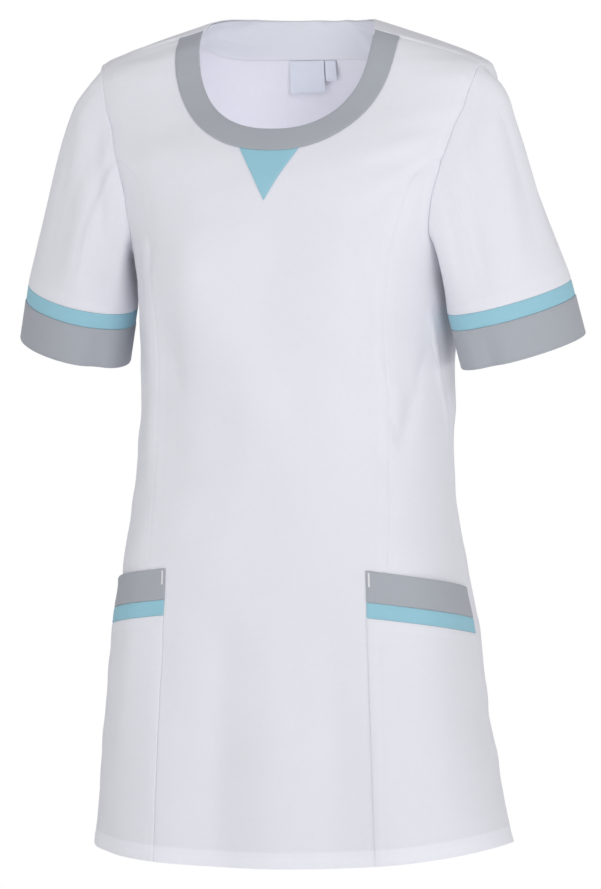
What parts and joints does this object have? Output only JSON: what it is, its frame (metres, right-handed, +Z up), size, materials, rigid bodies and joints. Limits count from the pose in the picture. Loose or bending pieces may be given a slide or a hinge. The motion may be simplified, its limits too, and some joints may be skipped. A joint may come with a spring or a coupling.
{
  "type": "medical tunic",
  "caption": "Short-sleeved medical tunic with a banded round neck, princess seams, banded patch pockets and side vents, filled out as worn.",
  "frame": {"origin": "midway between the two neck points, on the line where the wearer's shoulders carry the tunic", "axes": "+Z up the wearer's body, -Y to the front, +X to the wearer's left"},
  "size_m": [0.5552, 0.2453, 0.7984],
  "materials": {
    "white_cloth": "matt white twill of polyester and cotton",
    "facing_cloth": "matt white twill, in shade inside the neck",
    "grey_cloth": "matt cool grey twill",
    "blue_cloth": "matt light blue twill",
    "label_cloth": "smooth white woven tape"
  },
  "bodies": {
    "root": {"front_centre": "white_cloth", "front_side_left": "white_cloth", "front_side_right": "white_cloth", "back": "white_cloth", "back_neck_facing": "facing_cloth", "neck_band": "grey_cloth", "neck_triangle": "blue_cloth", "neck_label": "label_cloth", "size_tab": "label_cloth", "pocket_left": "white_cloth", "pocket_right": "white_cloth", "pocket_band_left": "grey_cloth", "pocket_band_right": "grey_cloth", "pocket_stripe_left": "blue_cloth", "pocket_stripe_right": "blue_cloth", "sleeve_left": "white_cloth", "sleeve_right": "white_cloth", "sleeve_stripe_left": "blue_cloth", "sleeve_stripe_right": "blue_cloth", "cuff_left": "grey_cloth", "cuff_right": "grey_cloth"}
  },
  "joints": []
}
